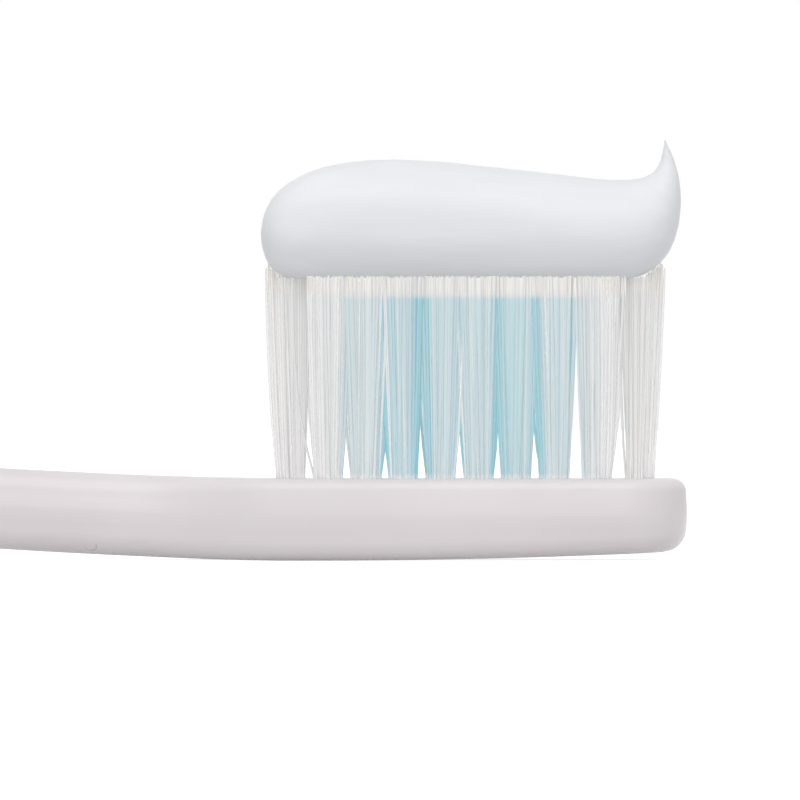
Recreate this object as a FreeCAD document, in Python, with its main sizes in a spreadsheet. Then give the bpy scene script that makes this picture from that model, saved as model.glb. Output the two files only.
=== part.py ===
"""A manual toothbrush lying on its back, with a strip of toothpaste along its bristles.

Millimetres, +Z up. +X runs from the tail of the handle to the tip of the head, Y is across the
brush, and the bristles stand up. The origin is under the middle of the brush, on the surface that
it lies on.

The handle, neck and head are one white injection moulding, parted along its sides, with draft above
and below the parting line. The head has blind holes. Each holds one tuft: a bundle of nylon
filaments folded in two under a flat metal anchor, which is driven in with it and bites into the
plastic on both sides. The outer tufts are clear. The middle ones are aqua and trimmed shorter.
"""

import FreeCAD
import Part
import Sketcher

import math
import os

Vector = FreeCAD.Vector
Constraint = Sketcher.Constraint

# Driving dimensions, in millimetres unless a comment says otherwise.
SIZES = {
    # The whole moulding.
    "overall_length": 180.0,
    "wall_draft": 1.5,  # degrees, away from the parting line
    # The head. Its full width runs from the tip to the shoulders.
    "head_length": 21.0,
    "head_width": 9.2,
    "head_thickness": 4.4,
    "tip_radius": 3.6,
    "tip_lift": 0.5,  # how far the back rises at the tip
    "tip_slope_length": 16.0,  # how far from the tip the back starts to rise
    "parting_height": 2.42,  # above the back of the head
    "head_top_radius": 0.7,
    "head_back_radius": 1.2,
    # The shoulders, from the head's full width to the neck.
    "shoulder_length": 9.0,
    # The neck, an arch that stands clear of the surface.
    "neck_length": 30.0,
    "neck_width": 4.8,
    "neck_thickness": 4.3,
    "neck_lift": 1.6,
    "neck_top_radius": 1.2,
    "neck_back_radius": 1.4,
    # The grip, which swells from the neck, lies flat and is rounded at the tail.
    "swell_length": 58.0,
    "grip_width": 12.4,
    "grip_thickness": 7.6,
    "grip_top_radius": 2.9,
    "grip_back_radius": 2.5,
    "tail_length": 26.0,
    "tail_lift": 0.9,
    # The tuft holes.
    "tip_to_first_tuft": 2.54,
    "tip_pitch": 2.33,  # between the first three columns, counted from the tip
    "tuft_pitch": 2.03,  # between the others
    "row_pitch": 2.25,
    "hole_diameter": 1.6,
    "hole_depth": 3.0,
    # The tufts.
    "bristle_height": 10.9,
    "inner_trim": 1.1,  # how much shorter the aqua tufts are
    "tuft_gap": 0.06,  # between the trimmed ends of two neighbours
    "tuft_clearance": 0.01,  # on radius, between a tuft and its hole
    # The anchors.
    "anchor_length": 1.84,
    "anchor_width": 0.26,
    "anchor_height": 1.3,
    "fold_thickness": 0.35,  # filaments under an anchor
    "anchor_angle": 30.0,  # degrees from the brush's length
    # The strip of toothpaste.
    "paste_height": 6.4,  # at the neck end
    "paste_fall": 1.0,  # how much lower the top is at the tip end
    "paste_width": 7.1,
    "paste_end_length": 3.2,  # the rounded stretch at each end
    "paste_tip_overhang": 2.25,  # past the middle of the first column
    "paste_neck_overhang": 1.6,  # past the middle of the last column
    "curl_radius": 1.7,
    "curl_waist": 0.7,  # radius where the curl has turned upright
    "curl_point": 0.15,  # radius of the curl's end
    "curl_base": 4.4,  # foot of the curl, above the bristles
    "curl_rise": 1.7,  # from the foot to the waist
    "curl_height": 3.1,
    "curl_lean": 0.8,  # how far the waist and the point lie past the foot, towards the tip
    "curl_setback": 1.75,  # from the end of the strip to the middle of the curl's foot
}

# The tufts stand in rows along the brush and in columns across it, counted from the tip.
ROWS = {"right": -1, "middle": 0, "left": 1}
COLUMNS = 10
WIDE_STEPS = 2  # how many columns have the tip's pitch after them
AQUA_COLUMNS = range(3, 9)  # in the middle row
TUFT_SIDES = 10
STRIP_SIDES = 14
CURL_SIDES = 8

# Where the sections of the lofts stand, as shares of the stretch that they belong to.
SHOULDER_SHARES = (0, 0.3, 0.7, 1)
NECK_SHARES = (0.5,)
SWELL_SHARES = (0, 0.3, 0.7, 1)
TAIL_SHARES = (0, 0.5, 0.85, 1)
STRIP_SHARES = (0, 0.12, 0.4, 1)

# The tail and both ends of the strip close by a round curve, up to a small flat end.
TAIL_ROUNDNESS = 2.6
STRIP_ROUNDNESS = 2.0
CURVE_REACH = 0.96  # share of the curve before the flat end
STRIP_END_HEIGHTS = {"neck": 0.38, "tip": 0.6}  # middle of the end, as a share of the height

# Places along the brush that several features share.
TIP_X = "(sizes.overall_length / 2)"
SHOULDER_X = f"({TIP_X} - sizes.head_length)"
NECK_X = f"({SHOULDER_X} - sizes.shoulder_length)"
SWELL_X = f"({NECK_X} - sizes.neck_length)"
TAIL_X = "(-sizes.overall_length / 2)"
ARCH_LENGTH = "(sizes.shoulder_length + sizes.neck_length)"
HOLE_FLOOR = "(sizes.head_thickness - sizes.hole_depth)"
TRIM_HEIGHT = "(sizes.head_thickness + sizes.bristle_height)"
TUFT_RADIUS = "(sizes.hole_diameter / 2 - sizes.tuft_clearance)"
SPREAD_RADIUS = "((min(sizes.tuft_pitch; sizes.row_pitch) - sizes.tuft_gap) / 2)"

ALONG_BRUSH = (Vector(0, 1, 0), 90)
TOLERANCE = 1e-4


def make_sheet(doc):
    """The spreadsheet that holds every driving dimension."""
    sheet = doc.addObject("Spreadsheet::Sheet", "sizes")
    for row, (alias, size) in enumerate(SIZES.items(), start=1):
        sheet.set(f"A{row}", alias.replace("_", " "))
        sheet.set(f"B{row}", str(size))
        sheet.setAlias(f"B{row}", alias)
    doc.recompute()
    return sheet


def value(sheet, expression):
    """The number that an expression on the sheet stands for."""
    return float(sheet.evalExpression(expression.replace("sizes.", "")))


def ease(share):
    """A share that starts and ends level, for curves without corners."""
    return share**2 * (3 - 2 * share)


def eased(expression):
    """The same curve as an expression."""
    return f"(({expression})^2 * (3 - 2 * ({expression})))"


def closing(share, roundness):
    """What is left of a size at a share of the way to a rounded end."""
    return (1 - (share * CURVE_REACH) ** roundness) ** (1 / roundness)


def blend(start, end, share):
    """An expression that runs from one size to another."""
    return f"({start} + ({end} - {start}) * {share})"


def origin_plane(body, role):
    """One of a body's own origin planes, such as XY_Plane."""
    return next(f for f in body.Origin.OriginFeatures if f.Role == role)


def add_sketch(body, name, role, offset=None):
    """A sketch on one of the body's origin planes, moved along that plane's normal."""
    sketch = body.newObject("Sketcher::SketchObject", name)
    sketch.AttachmentSupport = (origin_plane(body, role), [""])
    sketch.MapMode = "FlatFace"
    if offset:
        sketch.setExpression("AttachmentOffset.Base.z", offset)
    return sketch


def bind(sketch, constraint, expression):
    """Adds a dimension to a sketch and ties it to an expression."""
    index = sketch.addConstraint(constraint)
    sketch.setExpression(f"Constraints[{index}]", expression)


def join(sketch, kind, *ends):
    """Joins ends of edges in pairs, as tangent or coincident points."""
    for first, first_end, second, second_end in ends:
        sketch.addConstraint(Constraint(kind, first, first_end, second, second_end))


def line(sketch, start, end):
    """A straight edge from one (x, y) pair to another."""
    return sketch.addGeometry(Part.LineSegment(Vector(*start), Vector(*end)))


def arc(sketch, centre, radius, start, end):
    """An arc, anticlockwise between two angles in degrees."""
    circle = Part.Circle(Vector(*centre), Vector(0, 0, 1), radius)
    return sketch.addGeometry(Part.ArcOfCircle(circle, math.radians(start), math.radians(end)))


def cut_through(body, name, sketch):
    """A pocket right across the body, to both sides of its sketch."""
    pocket = body.newObject("PartDesign::Pocket", name)
    pocket.Profile = sketch
    pocket.Type = "ThroughAll"
    pocket.Midplane = True
    return pocket


def ruled_loft(body, name, sections):
    """A solid through sections, with straight edges from one to the next."""
    loft = body.newObject("PartDesign::AdditiveLoft", name)
    loft.Profile = sections[0]
    loft.Sections = sections[1:]
    loft.Ruled = True
    return loft


def head_plan(body, sheet):
    """The head from above, on the parting plane. It runs on past where its end is cut square."""
    sketch = add_sketch(body, "head_plan", "XY_Plane", "sizes.parting_height")
    tip, rear = value(sheet, TIP_X), value(sheet, NECK_X)
    half, radius = value(sheet, "sizes.head_width / 2"), value(sheet, "sizes.tip_radius")
    near, inner = tip - radius, half - radius
    face = line(sketch, (tip, -inner), (tip, inner))
    left_corner = arc(sketch, (near, inner), radius, 0, 90)
    left = line(sketch, (near, half), (rear, half))
    back = line(sketch, (rear, half), (rear, -half))
    right = line(sketch, (rear, -half), (near, -half))
    right_corner = arc(sketch, (near, -inner), radius, 270, 360)
    join(sketch, "Tangent", (face, 2, left_corner, 1), (left_corner, 2, left, 1),
         (right, 2, right_corner, 1), (right_corner, 2, face, 1))
    join(sketch, "Coincident", (left, 2, back, 1), (back, 2, right, 1))
    sketch.addConstraint(Constraint("Vertical", face))
    sketch.addConstraint(Constraint("Horizontal", left))
    sketch.addConstraint(Constraint("Horizontal", right))
    sketch.addConstraint(Constraint("Equal", left_corner, right_corner))
    sketch.addConstraint(Constraint("Symmetric", back, 1, back, 2, -1))
    bind(sketch, Constraint("Radius", left_corner, radius), "sizes.tip_radius")
    bind(sketch, Constraint("DistanceY", back, 2, back, 1, 2 * half), "sizes.head_width")
    bind(sketch, Constraint("DistanceX", -1, 1, face, 1, tip), TIP_X)
    bind(sketch, Constraint("DistanceX", -1, 1, back, 1, rear), NECK_X)
    return sketch


def tip_wedge(body, sheet):
    """What is cut from under the head so that its back rises to the tip, seen from the side."""
    sketch = add_sketch(body, "tip_wedge", "XZ_Plane")
    tip = value(sheet, TIP_X)
    run, lift = value(sheet, "sizes.tip_slope_length"), value(sheet, "sizes.tip_lift")
    slope = line(sketch, (tip - run, 0), (tip, lift))
    face = line(sketch, (tip, lift), (tip, 0))
    ground = line(sketch, (tip, 0), (tip - run, 0))
    join(sketch, "Coincident", (slope, 2, face, 1), (face, 2, ground, 1), (ground, 2, slope, 1))
    sketch.addConstraint(Constraint("Vertical", face))
    sketch.addConstraint(Constraint("PointOnObject", slope, 1, -1))
    sketch.addConstraint(Constraint("PointOnObject", face, 2, -1))
    bind(sketch, Constraint("DistanceX", -1, 1, face, 1, tip), TIP_X)
    bind(sketch, Constraint("DistanceX", slope, 1, slope, 2, run), "sizes.tip_slope_length")
    bind(sketch, Constraint("DistanceY", face, 2, face, 1, lift), "sizes.tip_lift")
    return sketch


def head_end(body, sheet):
    """What is cut from the head's block behind the shoulders' start, seen from the side."""
    sketch = add_sketch(body, "head_end", "XZ_Plane")
    rear, front = value(sheet, NECK_X), value(sheet, SHOULDER_X)
    top = value(sheet, "sizes.head_thickness")
    corners = ((rear, 0), (front, 0), (front, top), (rear, top))
    sides = [line(sketch, corners[i], corners[(i + 1) % 4]) for i in range(4)]
    for i, side in enumerate(sides):
        join(sketch, "Coincident", (side, 2, sides[(i + 1) % 4], 1))
        sketch.addConstraint(Constraint("Vertical" if i % 2 else "Horizontal", side))
    sketch.addConstraint(Constraint("PointOnObject", sides[0], 1, -1))
    bind(sketch, Constraint("DistanceX", -1, 1, sides[0], 1, rear), NECK_X)
    bind(sketch, Constraint("DistanceX", -1, 1, sides[2], 1, front), SHOULDER_X)
    bind(sketch, Constraint("DistanceY", -1, 1, sides[2], 1, top), "sizes.head_thickness")
    return sketch


def rim_edges(shape, upward, cut_x):
    """The edges round the faces that look up or down, without those where the head is cut off."""
    chosen = []
    for face in shape.Faces:
        u_low, u_high, v_low, v_high = face.ParameterRange
        tilt = face.normalAt((u_low + u_high) / 2, (v_low + v_high) / 2).z
        if (tilt if upward else -tilt) > math.cos(math.radians(10)):
            chosen.extend(face.Edges)
    names = []
    for number, edge in enumerate(shape.Edges, start=1):
        on_cut = all(abs(vertex.X - cut_x) < TOLERANCE for vertex in edge.Vertexes)
        if sum(edge.isSame(other) for other in chosen) == 1 and not on_cut:
            names.append(f"Edge{number}")
    return names


def handle_section(body, sheet, number, place, sizes):
    """A section of the neck or grip: four rounded corners, and two drafted walls on each side."""
    width, thickness, lift, parting, top_radius, back_radius = sizes
    sketch = add_sketch(body, f"section_{number}", "YZ_Plane", place)
    half = value(sheet, width) / 2
    low, middle = value(sheet, lift), value(sheet, parting)
    high = low + value(sheet, thickness)
    upper, lower = value(sheet, top_radius), value(sheet, back_radius)
    draft = value(sheet, "sizes.wall_draft")
    lean = math.radians(draft)

    def corner(radius, height):
        """How far out a corner's centre lies, tangent to the drafted wall."""
        return half - (radius + abs(height - middle) * math.sin(lean)) / math.cos(lean)

    up, down = high - upper, low + lower
    top_out, back_out = corner(upper, up), corner(lower, down)
    top_wall = (top_out + upper * math.cos(lean), up + upper * math.sin(lean))
    back_wall = (back_out + lower * math.cos(lean), down - lower * math.sin(lean))
    low_right = line(sketch, back_wall, (half, middle))
    high_right = line(sketch, (half, middle), top_wall)
    top_right = arc(sketch, (top_out, up), upper, draft, 90)
    top = line(sketch, (top_out, high), (-top_out, high))
    top_left = arc(sketch, (-top_out, up), upper, 90, 180 - draft)
    high_left = line(sketch, (-top_wall[0], top_wall[1]), (-half, middle))
    low_left = line(sketch, (-half, middle), (-back_wall[0], back_wall[1]))
    back_left = arc(sketch, (-back_out, down), lower, 180 + draft, 270)
    back = line(sketch, (-back_out, low), (back_out, low))
    back_right = arc(sketch, (back_out, down), lower, 270, 360 - draft)
    join(sketch, "Tangent", (high_right, 2, top_right, 1), (top_right, 2, top, 1),
         (top, 2, top_left, 1), (top_left, 2, high_left, 1), (low_left, 2, back_left, 1),
         (back_left, 2, back, 1), (back, 2, back_right, 1), (back_right, 2, low_right, 1))
    join(sketch, "Coincident", (low_right, 2, high_right, 1), (high_left, 2, low_left, 1))
    sketch.addConstraint(Constraint("Symmetric", top, 1, top, 2, -2))
    sketch.addConstraint(Constraint("Symmetric", back, 1, back, 2, -2))
    sketch.addConstraint(Constraint("Symmetric", high_right, 1, high_left, 2, -2))
    sketch.addConstraint(Constraint("Equal", top_right, top_left))
    sketch.addConstraint(Constraint("Equal", back_right, back_left))
    bind(sketch, Constraint("Radius", top_right, upper), top_radius)
    bind(sketch, Constraint("Radius", back_right, lower), back_radius)
    bind(sketch, Constraint("DistanceY", -1, 1, top, 1, high), f"{lift} + {thickness}")
    bind(sketch, Constraint("DistanceY", -1, 1, back, 1, low), lift)
    bind(sketch, Constraint("DistanceY", -1, 1, high_right, 1, middle), parting)
    bind(sketch, Constraint("DistanceX", high_left, 2, high_right, 1, 2 * half), width)
    for wall, sign in ((high_right, "+"), (low_right, "-")):
        angle = math.radians(90 + draft if sign == "+" else 90 - draft)
        bind(sketch, Constraint("Angle", wall, angle), f"90 {sign} sizes.wall_draft")
    return sketch


def arch_sizes(distance, share):
    """Section sizes on the shoulders and the neck, at a distance from where the head ends."""
    along = eased(f"{distance} / {ARCH_LENGTH}")
    thickness = blend("sizes.head_thickness", "sizes.neck_thickness", along)
    lift = f"(sizes.neck_lift * {along})"
    parting = f"({lift} + {blend('sizes.parting_height', f'({thickness} / 2)', along)})"
    width, top_radius, back_radius = (
        blend(f"sizes.head_{size}", f"sizes.neck_{size}", f"{ease(share):.4f}")
        for size in ("width", "top_radius", "back_radius")
    )
    return width, thickness, lift, parting, top_radius, back_radius


def swell_sizes(share):
    """Section sizes between the neck and the full grip, which lies on the surface."""
    width, thickness, top_radius, back_radius = (
        blend(f"sizes.neck_{size}", f"sizes.grip_{size}", f"{ease(share):.4f}")
        for size in ("width", "thickness", "top_radius", "back_radius")
    )
    lift = f"(sizes.neck_lift * {1 - ease(share):.4f})"
    return width, thickness, lift, f"({lift} + {thickness} / 2)", top_radius, back_radius


def tail_sizes(share):
    """Section sizes where the tail closes."""
    left = closing(share, TAIL_ROUNDNESS)
    width, thickness, top_radius, back_radius = (
        f"(sizes.grip_{size} * {left:.4f})"
        for size in ("width", "thickness", "top_radius", "back_radius")
    )
    lift = f"(sizes.grip_thickness * {(1 - left) / 2:.4f} + sizes.tail_lift * {share**2:.4f})"
    return width, thickness, lift, f"({lift} + {thickness} / 2)", top_radius, back_radius


def handle_sections(body, sheet):
    """The sections of the neck and grip, from the head's end to the end of the tail."""
    stations = []
    for share in SHOULDER_SHARES:
        distance = f"({share} * sizes.shoulder_length)"
        stations.append((f"({SHOULDER_X} - {distance})", arch_sizes(distance, share)))
    for share in NECK_SHARES:
        distance = f"(sizes.shoulder_length + {share} * sizes.neck_length)"
        stations.append((f"({SHOULDER_X} - {distance})", arch_sizes(distance, 1)))
    for share in SWELL_SHARES:
        stations.append((f"({SWELL_X} - {share} * sizes.swell_length)", swell_sizes(share)))
    for share in TAIL_SHARES:
        place = f"({TAIL_X} + {1 - share:.2f} * sizes.tail_length)"
        stations.append((place, tail_sizes(share)))
    return [
        handle_section(body, sheet, number, place, sizes)
        for number, (place, sizes) in enumerate(stations, start=1)
    ]


def tuft_places():
    """Row and column of every tuft. The first and last columns have only the middle one."""
    for row in ROWS:
        ends = 0 if row == "middle" else 1
        for column in range(1 + ends, COLUMNS + 1 - ends):
            yield row, column


def tuft_x(column):
    """Where a column of tufts stands along the brush."""
    wide = min(column - 1, WIDE_STEPS)
    narrow = column - 1 - wide
    steps = f"{wide} * sizes.tip_pitch + {narrow} * sizes.tuft_pitch"
    return f"({TIP_X} - sizes.tip_to_first_tuft - ({steps}))"


def tuft_y(row):
    """Where a row of tufts stands across the brush."""
    return f"({ROWS[row]} * sizes.row_pitch)"


def tuft_holes(body, sheet):
    """The holes' outlines, on the plane of their floors."""
    sketch = add_sketch(body, "tuft_holes", "XY_Plane", HOLE_FLOOR)
    radius = value(sheet, "sizes.hole_diameter / 2")
    for row, column in tuft_places():
        x, y = value(sheet, tuft_x(column)), value(sheet, tuft_y(row))
        circle = Part.Circle(Vector(x, y), Vector(0, 0, 1), radius)
        hole = sketch.addGeometry(circle)
        bind(sketch, Constraint("Radius", hole, radius), "sizes.hole_diameter / 2")
        bind(sketch, Constraint("DistanceX", -1, 1, hole, 3, x), tuft_x(column))
        bind(sketch, Constraint("DistanceY", -1, 1, hole, 3, y), tuft_y(row))
    return sketch


def moulding(doc, sheet):
    """The brush before its tufts are driven in: head, shoulders, neck and grip in one."""
    body = doc.addObject("PartDesign::Body", "moulding")
    block = body.newObject("PartDesign::Pad", "head_block")
    block.Profile = head_plan(body, sheet)
    block.SideType = "Two sides"
    block.setExpression("Length", "sizes.head_thickness - sizes.parting_height")
    block.setExpression("Length2", "sizes.parting_height")
    block.setExpression("TaperAngle", "-sizes.wall_draft")
    block.setExpression("TaperAngle2", "-sizes.wall_draft")
    cut_through(body, "tip_rise", tip_wedge(body, sheet))
    last = cut_through(body, "end_cut", head_end(body, sheet))
    doc.recompute()
    for rim, upward in (("top", True), ("back", False)):
        edges = rim_edges(last.Shape, upward, value(sheet, SHOULDER_X))
        rounding = body.newObject("PartDesign::Fillet", f"{rim}_rounding")
        rounding.Base = (last, edges)
        rounding.setExpression("Radius", f"sizes.head_{rim}_radius")
        doc.recompute()
        last = rounding
    ruled_loft(body, "neck_and_grip", handle_sections(body, sheet))
    drilling = body.newObject("PartDesign::Pocket", "drilling")
    drilling.Profile = tuft_holes(body, sheet)
    drilling.Type = "ThroughAll"
    drilling.Reversed = True
    return body


def anchor(doc, row, column):
    """The metal plate that one tuft is folded over, a little longer than its hole is wide."""
    plate = doc.addObject("Part::Box", f"anchor_{row}_{column}")
    plate.Placement.Rotation = FreeCAD.Rotation(Vector(0, 0, 1), SIZES["anchor_angle"])
    plate.setExpression("Placement.Rotation.Angle", "sizes.anchor_angle")
    plate.setExpression("Length", "sizes.anchor_length")
    plate.setExpression("Width", "sizes.anchor_width")
    plate.setExpression("Height", "sizes.anchor_height")
    sine, cosine = "sin(sizes.anchor_angle * 1 deg)", "cos(sizes.anchor_angle * 1 deg)"
    back = f"(sizes.anchor_length * {cosine} - sizes.anchor_width * {sine}) / 2"
    side = f"(sizes.anchor_length * {sine} + sizes.anchor_width * {cosine}) / 2"
    plate.setExpression("Placement.Base.x", f"{tuft_x(column)} - {back}")
    plate.setExpression("Placement.Base.y", f"{tuft_y(row)} - {side}")
    plate.setExpression("Placement.Base.z", f"{HOLE_FLOOR} + sizes.fold_thickness")
    return plate


def outline(doc, name, sides, radius, place, facing=None):
    """A regular outline to loft through, facing up unless an axis and angle turn it."""
    shape = doc.addObject("Part::RegularPolygon", name)
    shape.Polygon = sides
    shape.setExpression("Circumradius", radius)
    if facing:
        shape.Placement.Rotation = FreeCAD.Rotation(*facing)
    for axis, expression in zip("xyz", place, strict=True):
        shape.setExpression(f"Placement.Base.{axis}", expression)
    return shape


def faceted_loft(doc, name, outlines):
    """A solid through outlines of equal sides, with flat faces between them."""
    loft = doc.addObject("Part::Loft", name)
    loft.Sections = outlines
    loft.Solid = True
    loft.Ruled = True
    loft.Linearize = True
    return loft


def tuft(doc, row, column, plate):
    """A bundle of bristles: a plug that fills its hole, opening out to the trimmed end."""
    name = f"tuft_{row}_{column}"
    aqua = row == "middle" and column in AQUA_COLUMNS
    trim = f"({TRIM_HEIGHT} - sizes.inner_trim)" if aqua else TRIM_HEIGHT
    levels = (
        ("fold", HOLE_FLOOR, TUFT_RADIUS),
        ("mouth", "sizes.head_thickness", TUFT_RADIUS),
        ("trim", trim, SPREAD_RADIUS),
    )
    outlines = [
        outline(doc, f"{name}_{level}", TUFT_SIDES, radius, (tuft_x(column), tuft_y(row), height))
        for level, height, radius in levels
    ]
    folded = doc.addObject("Part::Cut", name)
    folded.Base = faceted_loft(doc, f"{name}_bundle", outlines)
    folded.Tool = plate
    return folded


def toothpaste(doc):
    """The strip of toothpaste, flat on the bristles, with the curl that it was broken off at."""
    places = [("neck", share) for share in STRIP_SHARES]
    places += [("tip", share) for share in reversed(STRIP_SHARES)]
    outlines = []
    for end, share in places:
        left = closing(1 - share, STRIP_ROUNDNESS)
        inset = f"{share} * sizes.paste_end_length"
        if end == "neck":
            x = f"{tuft_x(COLUMNS)} - sizes.paste_neck_overhang + {inset}"
            height = "sizes.paste_height"
        else:
            x = f"{tuft_x(1)} + sizes.paste_tip_overhang - {inset}"
            height = "(sizes.paste_height - sizes.paste_fall)"
        middle = f"{height} - sizes.paste_width / 2"
        end_height = f"sizes.paste_height * {STRIP_END_HEIGHTS[end]}"
        z = f"{TRIM_HEIGHT} + ({middle}) * {left:.4f} + {end_height} * {1 - left:.4f}"
        radius = f"sizes.paste_width / 2 * {left:.4f}"
        name = f"strip_{end}_{100 * share:.0f}"
        outlines.append(outline(doc, name, STRIP_SIDES, radius, (x, "0", z), ALONG_BRUSH))
    roll = faceted_loft(doc, "roll", outlines)
    below = doc.addObject("Part::Box", "below_the_bristle_ends")
    below.setExpression("Length", "sizes.overall_length")
    below.setExpression("Width", "2 * sizes.paste_width")
    below.setExpression("Height", TRIM_HEIGHT)
    below.setExpression("Placement.Base.y", "-sizes.paste_width")
    strip = doc.addObject("Part::Cut", "strip")
    strip.Base = roll
    strip.Tool = below
    foot_x = f"{tuft_x(1)} + sizes.paste_tip_overhang - sizes.curl_setback"
    foot_z = f"{TRIM_HEIGHT} + sizes.curl_base"
    upright_x = f"{foot_x} + sizes.curl_lean"
    curl_outlines = [
        outline(doc, "curl_foot", CURL_SIDES, "sizes.curl_radius", (foot_x, "0", foot_z)),
        outline(doc, "curl_waist", CURL_SIDES, "sizes.curl_waist",
                (upright_x, "0", f"{foot_z} + sizes.curl_rise")),
        outline(doc, "curl_end", CURL_SIDES, "sizes.curl_point",
                (upright_x, "0", f"{foot_z} + sizes.curl_height")),
    ]
    whole = doc.addObject("Part::Fuse", "toothpaste")
    whole.Base = strip
    whole.Tool = faceted_loft(doc, "curl", curl_outlines)
    return whole


def check(doc, nodes):
    """Stops the build if a feature failed or a node isn't a valid solid."""
    for feature in doc.Objects:
        if "Invalid" in feature.State or "Error" in feature.State:
            raise RuntimeError(f"{feature.Label} could not be built")
    for node in nodes:
        if node.Shape.isNull() or not node.Shape.isValid() or not node.Shape.Solids:
            raise RuntimeError(f"{node.Label} is not a valid solid")


def main():
    """Builds the brush and writes one file for each of its pieces."""
    doc = FreeCAD.newDocument("toothbrush")
    sheet = make_sheet(doc)
    body = moulding(doc, sheet)
    plates = {place: anchor(doc, *place) for place in tuft_places()}
    anchors = doc.addObject("Part::Compound", "tuft_anchors")
    anchors.Links = list(plates.values())
    handle = doc.addObject("Part::Cut", "handle")
    handle.Base = body
    handle.Tool = anchors
    tufts = [tuft(doc, row, column, plate) for (row, column), plate in plates.items()]
    nodes = [handle, anchors, *tufts, toothpaste(doc)]
    doc.recompute()
    check(doc, nodes)
    os.makedirs("parts", exist_ok=True)
    for node in nodes:
        node.Shape.exportStep(f"parts/{node.Label}.step")


main()
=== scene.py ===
"""The looks of a toothbrush that carries a strip of toothpaste, over its CAD part.

Sizes are in millimetres and are turned to metres where a vertex is placed. The frame is the part's:
+X runs from the tail of the handle to the tip of the head, +Z is up, and the bristles stand up.
"""

from __future__ import annotations

import logging
import math
import random
from collections.abc import Callable
from dataclasses import dataclass, field
from enum import Enum
from typing import Any

import bpy
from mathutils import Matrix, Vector

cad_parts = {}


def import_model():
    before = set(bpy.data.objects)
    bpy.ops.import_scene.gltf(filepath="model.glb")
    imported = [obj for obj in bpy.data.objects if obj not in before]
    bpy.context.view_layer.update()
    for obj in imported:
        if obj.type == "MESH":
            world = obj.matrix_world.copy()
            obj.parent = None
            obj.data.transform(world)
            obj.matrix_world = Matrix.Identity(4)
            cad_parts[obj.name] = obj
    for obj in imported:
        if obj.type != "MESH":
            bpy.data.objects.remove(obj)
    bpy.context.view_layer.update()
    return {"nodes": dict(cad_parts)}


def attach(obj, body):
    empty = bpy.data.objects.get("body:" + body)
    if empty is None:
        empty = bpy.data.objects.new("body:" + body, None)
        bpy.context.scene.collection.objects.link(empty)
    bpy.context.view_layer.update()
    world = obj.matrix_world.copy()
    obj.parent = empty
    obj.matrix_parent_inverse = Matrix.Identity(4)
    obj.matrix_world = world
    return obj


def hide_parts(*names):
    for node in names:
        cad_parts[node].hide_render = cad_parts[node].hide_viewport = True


MM = 0.001
GOLDEN_ANGLE = math.pi * (3 - math.sqrt(5))
LOG = logging.getLogger("toothbrush")
Colour = tuple[float, float, float, float]
Form = tuple[list[tuple[int, int]], list[list[int]]]


def linear(hex_colour: str) -> Colour:
    """Turns an sRGB colour to the linear values that a shader takes.

    Args:
        hex_colour: Six hex digits after a hash sign.

    Returns:
        Linear red, green and blue, and an alpha of 1.
    """
    shares = [int(hex_colour[i : i + 2], 16) / 255 for i in (1, 3, 5)]
    red, green, blue = (c / 12.92 if c <= 0.04045 else ((c + 0.055) / 1.055) ** 2.4 for c in shares)
    return red, green, blue, 1.0


def blend(start: float, end: float, share: float) -> float:
    """Runs from one size to another."""
    return start + (end - start) * share


def ease(share: float) -> float:
    """Bends a share so that it starts and ends level."""
    share = min(max(share, 0.0), 1.0)
    return share * share * (3 - 2 * share)


def add_node(
    tree: bpy.types.NodeTree,
    kind: str,
    settings: dict[str, Any] | None = None,
    inputs: dict[str | int, Any] | None = None,
) -> bpy.types.Node:
    """Adds a node, with its settings, and its inputs set or linked.

    Args:
        tree: The node tree of a material or the world.
        kind: The node's type.
        settings: Properties of the node itself.
        inputs: A constant for each input, or the output socket that it is linked to.

    Returns:
        The new node.
    """
    node = tree.nodes.new(kind)
    for name, setting in (settings or {}).items():
        setattr(node, name, setting)
    for name, source in (inputs or {}).items():
        if isinstance(source, bpy.types.NodeSocket):
            tree.links.new(source, node.inputs[name])
        else:
            node.inputs[name].default_value = source
    return node


def colour_ramp(
    tree: bpy.types.NodeTree, source: bpy.types.NodeSocket, stops: list[tuple[float, str]]
) -> bpy.types.Node:
    """Adds a ramp from one colour to the next.

    Args:
        tree: The material's node tree.
        source: The value that picks the colour.
        stops: Positions and sRGB colours, in order.

    Returns:
        The ramp.
    """
    ramp = add_node(tree, "ShaderNodeValToRGB", inputs={"Fac": source})
    elements = ramp.color_ramp.elements
    while len(elements) < len(stops):
        elements.new(0.5)
    for element, (position, hex_colour) in zip(elements, stops, strict=True):
        element.position = position
        element.color = linear(hex_colour)
    return ramp


def new_material(name: str) -> tuple[bpy.types.Material, bpy.types.NodeTree]:
    """Makes a material with an empty node tree.

    Args:
        name: What the real material is.

    Returns:
        The material and its tree.
    """
    material = bpy.data.materials.new(name)
    material.use_nodes = True
    material.node_tree.nodes.clear()
    return material, material.node_tree


def finish_with(tree: bpy.types.NodeTree, shader: bpy.types.Node) -> None:
    """Links a shader to the material's output."""
    add_node(tree, "ShaderNodeOutputMaterial", inputs={"Surface": shader.outputs[0]})


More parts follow.
